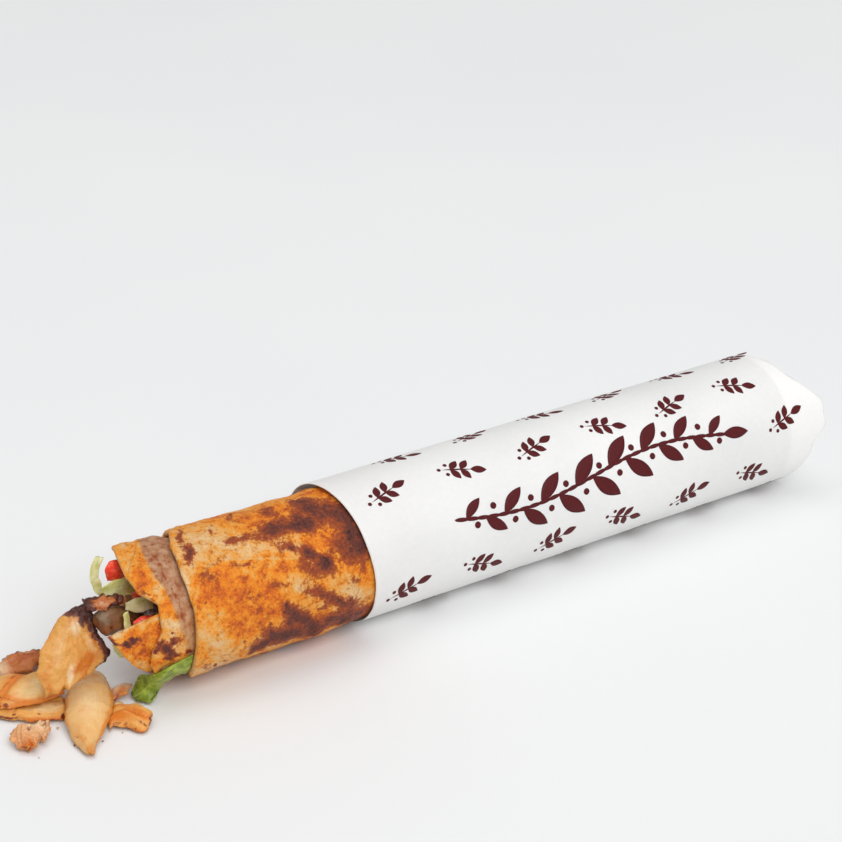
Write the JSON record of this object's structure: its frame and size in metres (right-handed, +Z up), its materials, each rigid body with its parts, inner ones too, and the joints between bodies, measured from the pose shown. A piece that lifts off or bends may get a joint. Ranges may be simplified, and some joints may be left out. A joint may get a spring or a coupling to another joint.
{
  "type": "doner kebab wrap",
  "caption": "Rolled griddled flatbread in a closed paper sleeve, open at one end, with carved chicken, tomato and lettuce spilling from its mouth.",
  "frame": {"origin": "on the surface it lies on, under the middle of the sleeve", "axes": "+X along the roll, from the open mouth to the folded end of the sleeve; +Z up; -Y is the near side, where the tongue of bread and the lettuce leaf come out"},
  "size_m": [0.3653, 0.0699, 0.056],
  "materials": {
    "sleeve_paper": "smooth white greaseproof paper with a dark red print",
    "griddled_bread": "baked dough, cream to orange with dark scorch marks",
    "steamed_bread": "baked dough, softer and browner where the outer turn covered it",
    "chopped_chicken": "brown stewed meat",
    "carved_chicken": "moist pale roast meat with orange seasoning",
    "seared_chicken": "roast meat with a dark crust at its edges",
    "charred_skin": "almost black roast skin",
    "tomato": "wet red flesh",
    "iceberg_lettuce": "pale moist yellow green shreds",
    "green_lettuce": "moist green leaf"
  },
  "bodies": {
    "root": {"paper_sleeve": "sleeve_paper", "outer_bread": "griddled_bread", "inner_bread": "steamed_bread", "bread_fold": "griddled_bread", "chicken_filling": "chopped_chicken", "tomato_upper": "tomato", "tomato_deep": "tomato", "tomato_lower": "tomato", "lettuce_hook": "iceberg_lettuce", "lettuce_upper": "iceberg_lettuce", "lettuce_middle": "iceberg_lettuce", "lettuce_upright": "iceberg_lettuce", "lettuce_under": "iceberg_lettuce", "chicken_chunk": "chopped_chicken", "chicken_ridge": "charred_skin", "shaving_charred": "seared_chicken", "shaving_drop": "carved_chicken", "shaving_left": "carved_chicken", "shaving_under": "carved_chicken", "shaving_back": "seared_chicken", "shaving_right": "carved_chicken", "chicken_crumb": "carved_chicken", "chicken_scrap": "seared_chicken", "lettuce_leaf": "green_lettuce"}
  },
  "joints": []
}
